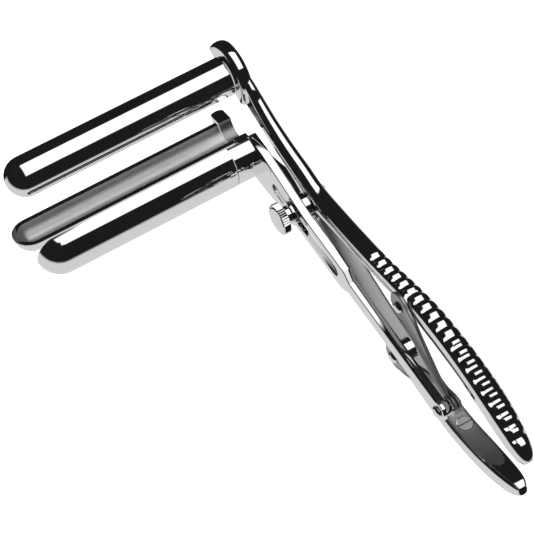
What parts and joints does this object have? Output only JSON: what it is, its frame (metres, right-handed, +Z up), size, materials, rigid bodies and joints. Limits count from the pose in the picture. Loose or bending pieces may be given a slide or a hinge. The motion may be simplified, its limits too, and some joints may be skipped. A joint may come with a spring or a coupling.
{
  "type": "anal speculum",
  "caption": "Three-bladed speculum with ribbed squeeze handles, a slotted central bar locked by a thumb screw, and links that spread the blades.",
  "frame": {"origin": "centre of the bounding box's bottom, with the instrument lying on its far lever", "axes": "+X along the handles from the blades to the grips, -Y the way the blades point, +Z up, across the mirror plane between the levers"},
  "size_m": [0.1858, 0.098, 0.0547],
  "materials": {
    "polished_chrome": "mirror polish",
    "satin_steel": "satin"
  },
  "bodies": {
    "bar": {"center_bar": "polished_chrome", "center_blade": "polished_chrome", "knuckle_pin": "polished_chrome", "knuckle_washer": "polished_chrome"},
    "pivot": {"pivot_stud": "polished_chrome", "pivot_washer": "polished_chrome", "screw_washer": "polished_chrome"},
    "thumb_screw": {"thumb_screw": "polished_chrome"},
    "near_lever": {"near_lever": "polished_chrome", "near_blade": "polished_chrome", "near_grip_screw": "polished_chrome"},
    "far_lever": {"far_lever": "polished_chrome", "far_blade": "satin_steel", "far_grip_screw": "polished_chrome"},
    "near_link": {"near_link": "satin_steel", "near_link_pin": "polished_chrome"},
    "far_link": {"far_link": "satin_steel", "far_link_pin": "polished_chrome"}
  },
  "joints": [
    {"name": "pivot_slide", "type": "slide", "parent": "bar", "child": "pivot", "axis": [1, 0, 0], "range_m": [-0.0042, 0.02]},
    {"name": "near_lever_hinge", "type": "hinge", "parent": "pivot", "child": "near_lever", "pos_m": [-0.0314, 0.04342, 0.02735], "axis": [0, 1, 0], "range_deg": [-17, 3.5]},
    {"name": "far_lever_hinge", "type": "hinge", "parent": "pivot", "child": "far_lever", "pos_m": [-0.0314, 0.04342, 0.02735], "axis": [0, 1, 0], "range_deg": [-3.5, 17]},
    {"name": "thumb_screw_turn", "type": "hinge", "parent": "pivot", "child": "thumb_screw", "pos_m": [-0.0314, 0.03382, 0.02735], "axis": [0, -1, 0], "range_deg": [0, 360]},
    {"name": "near_link_hinge", "type": "hinge", "parent": "bar", "child": "near_link", "pos_m": [0.05835, 0.04212, 0.02735], "axis": [0, 1, 0], "range_deg": [-6.9, 33.1]},
    {"name": "far_link_hinge", "type": "hinge", "parent": "bar", "child": "far_link", "pos_m": [0.05835, 0.04212, 0.02735], "axis": [0, 1, 0], "range_deg": [-33.1, 6.9]}
  ],
  "couplings": [
    {"joint": "pivot_slide", "follows": "near_lever_hinge", "m_per_rad": -0.067},
    {"joint": "far_lever_hinge", "follows": "near_lever_hinge", "ratio": -1},
    {"joint": "near_link_hinge", "follows": "near_lever_hinge", "ratio": -1.94},
    {"joint": "far_link_hinge", "follows": "near_lever_hinge", "ratio": 1.94}
  ]
}
